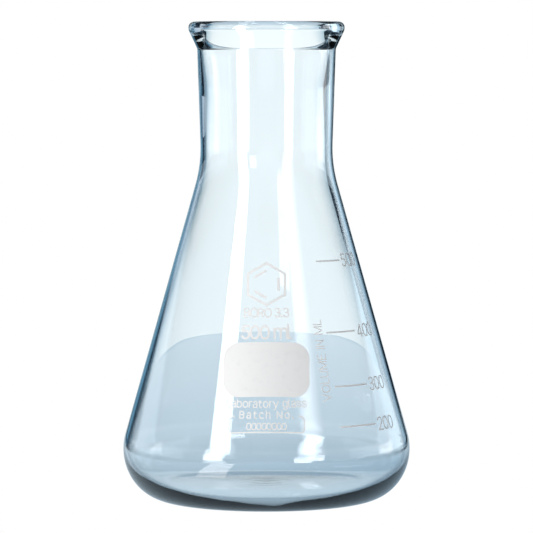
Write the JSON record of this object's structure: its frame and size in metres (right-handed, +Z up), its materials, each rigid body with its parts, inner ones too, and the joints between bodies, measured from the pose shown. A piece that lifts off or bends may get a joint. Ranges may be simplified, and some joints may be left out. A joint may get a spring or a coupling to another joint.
{
  "type": "conical flask",
  "caption": "Wide-neck conical laboratory flask of clear glass with a beaded lip, rounded heel, printed filling scale and writing panel.",
  "frame": {"origin": "on the flask's axis, in the plane that its foot stands on", "axes": "+Z up along the axis towards the mouth, -Y towards the printed side, +X to the right when the printed side is faced"},
  "size_m": [0.105, 0.105, 0.175],
  "materials": {
    "borosilicate_glass": "clear, fire-polished, very faint cool tint",
    "white_enamel": "fired white enamel, satin"
  },
  "bodies": {
    "root": {"glass_vessel": "borosilicate_glass", "writing_panel": "white_enamel", "emblem": "white_enamel", "glass_type_text": "white_enamel", "capacity_text": "white_enamel", "glassware_text": "white_enamel", "batch_frame": "white_enamel", "batch_label_text": "white_enamel", "batch_number_text": "white_enamel", "volume_text": "white_enamel", "graduation_line_200": "white_enamel", "graduation_line_300": "white_enamel", "graduation_line_400": "white_enamel", "graduation_line_500": "white_enamel", "graduation_number_200": "white_enamel", "graduation_number_300": "white_enamel", "graduation_number_400": "white_enamel", "graduation_number_500": "white_enamel"}
  },
  "joints": []
}
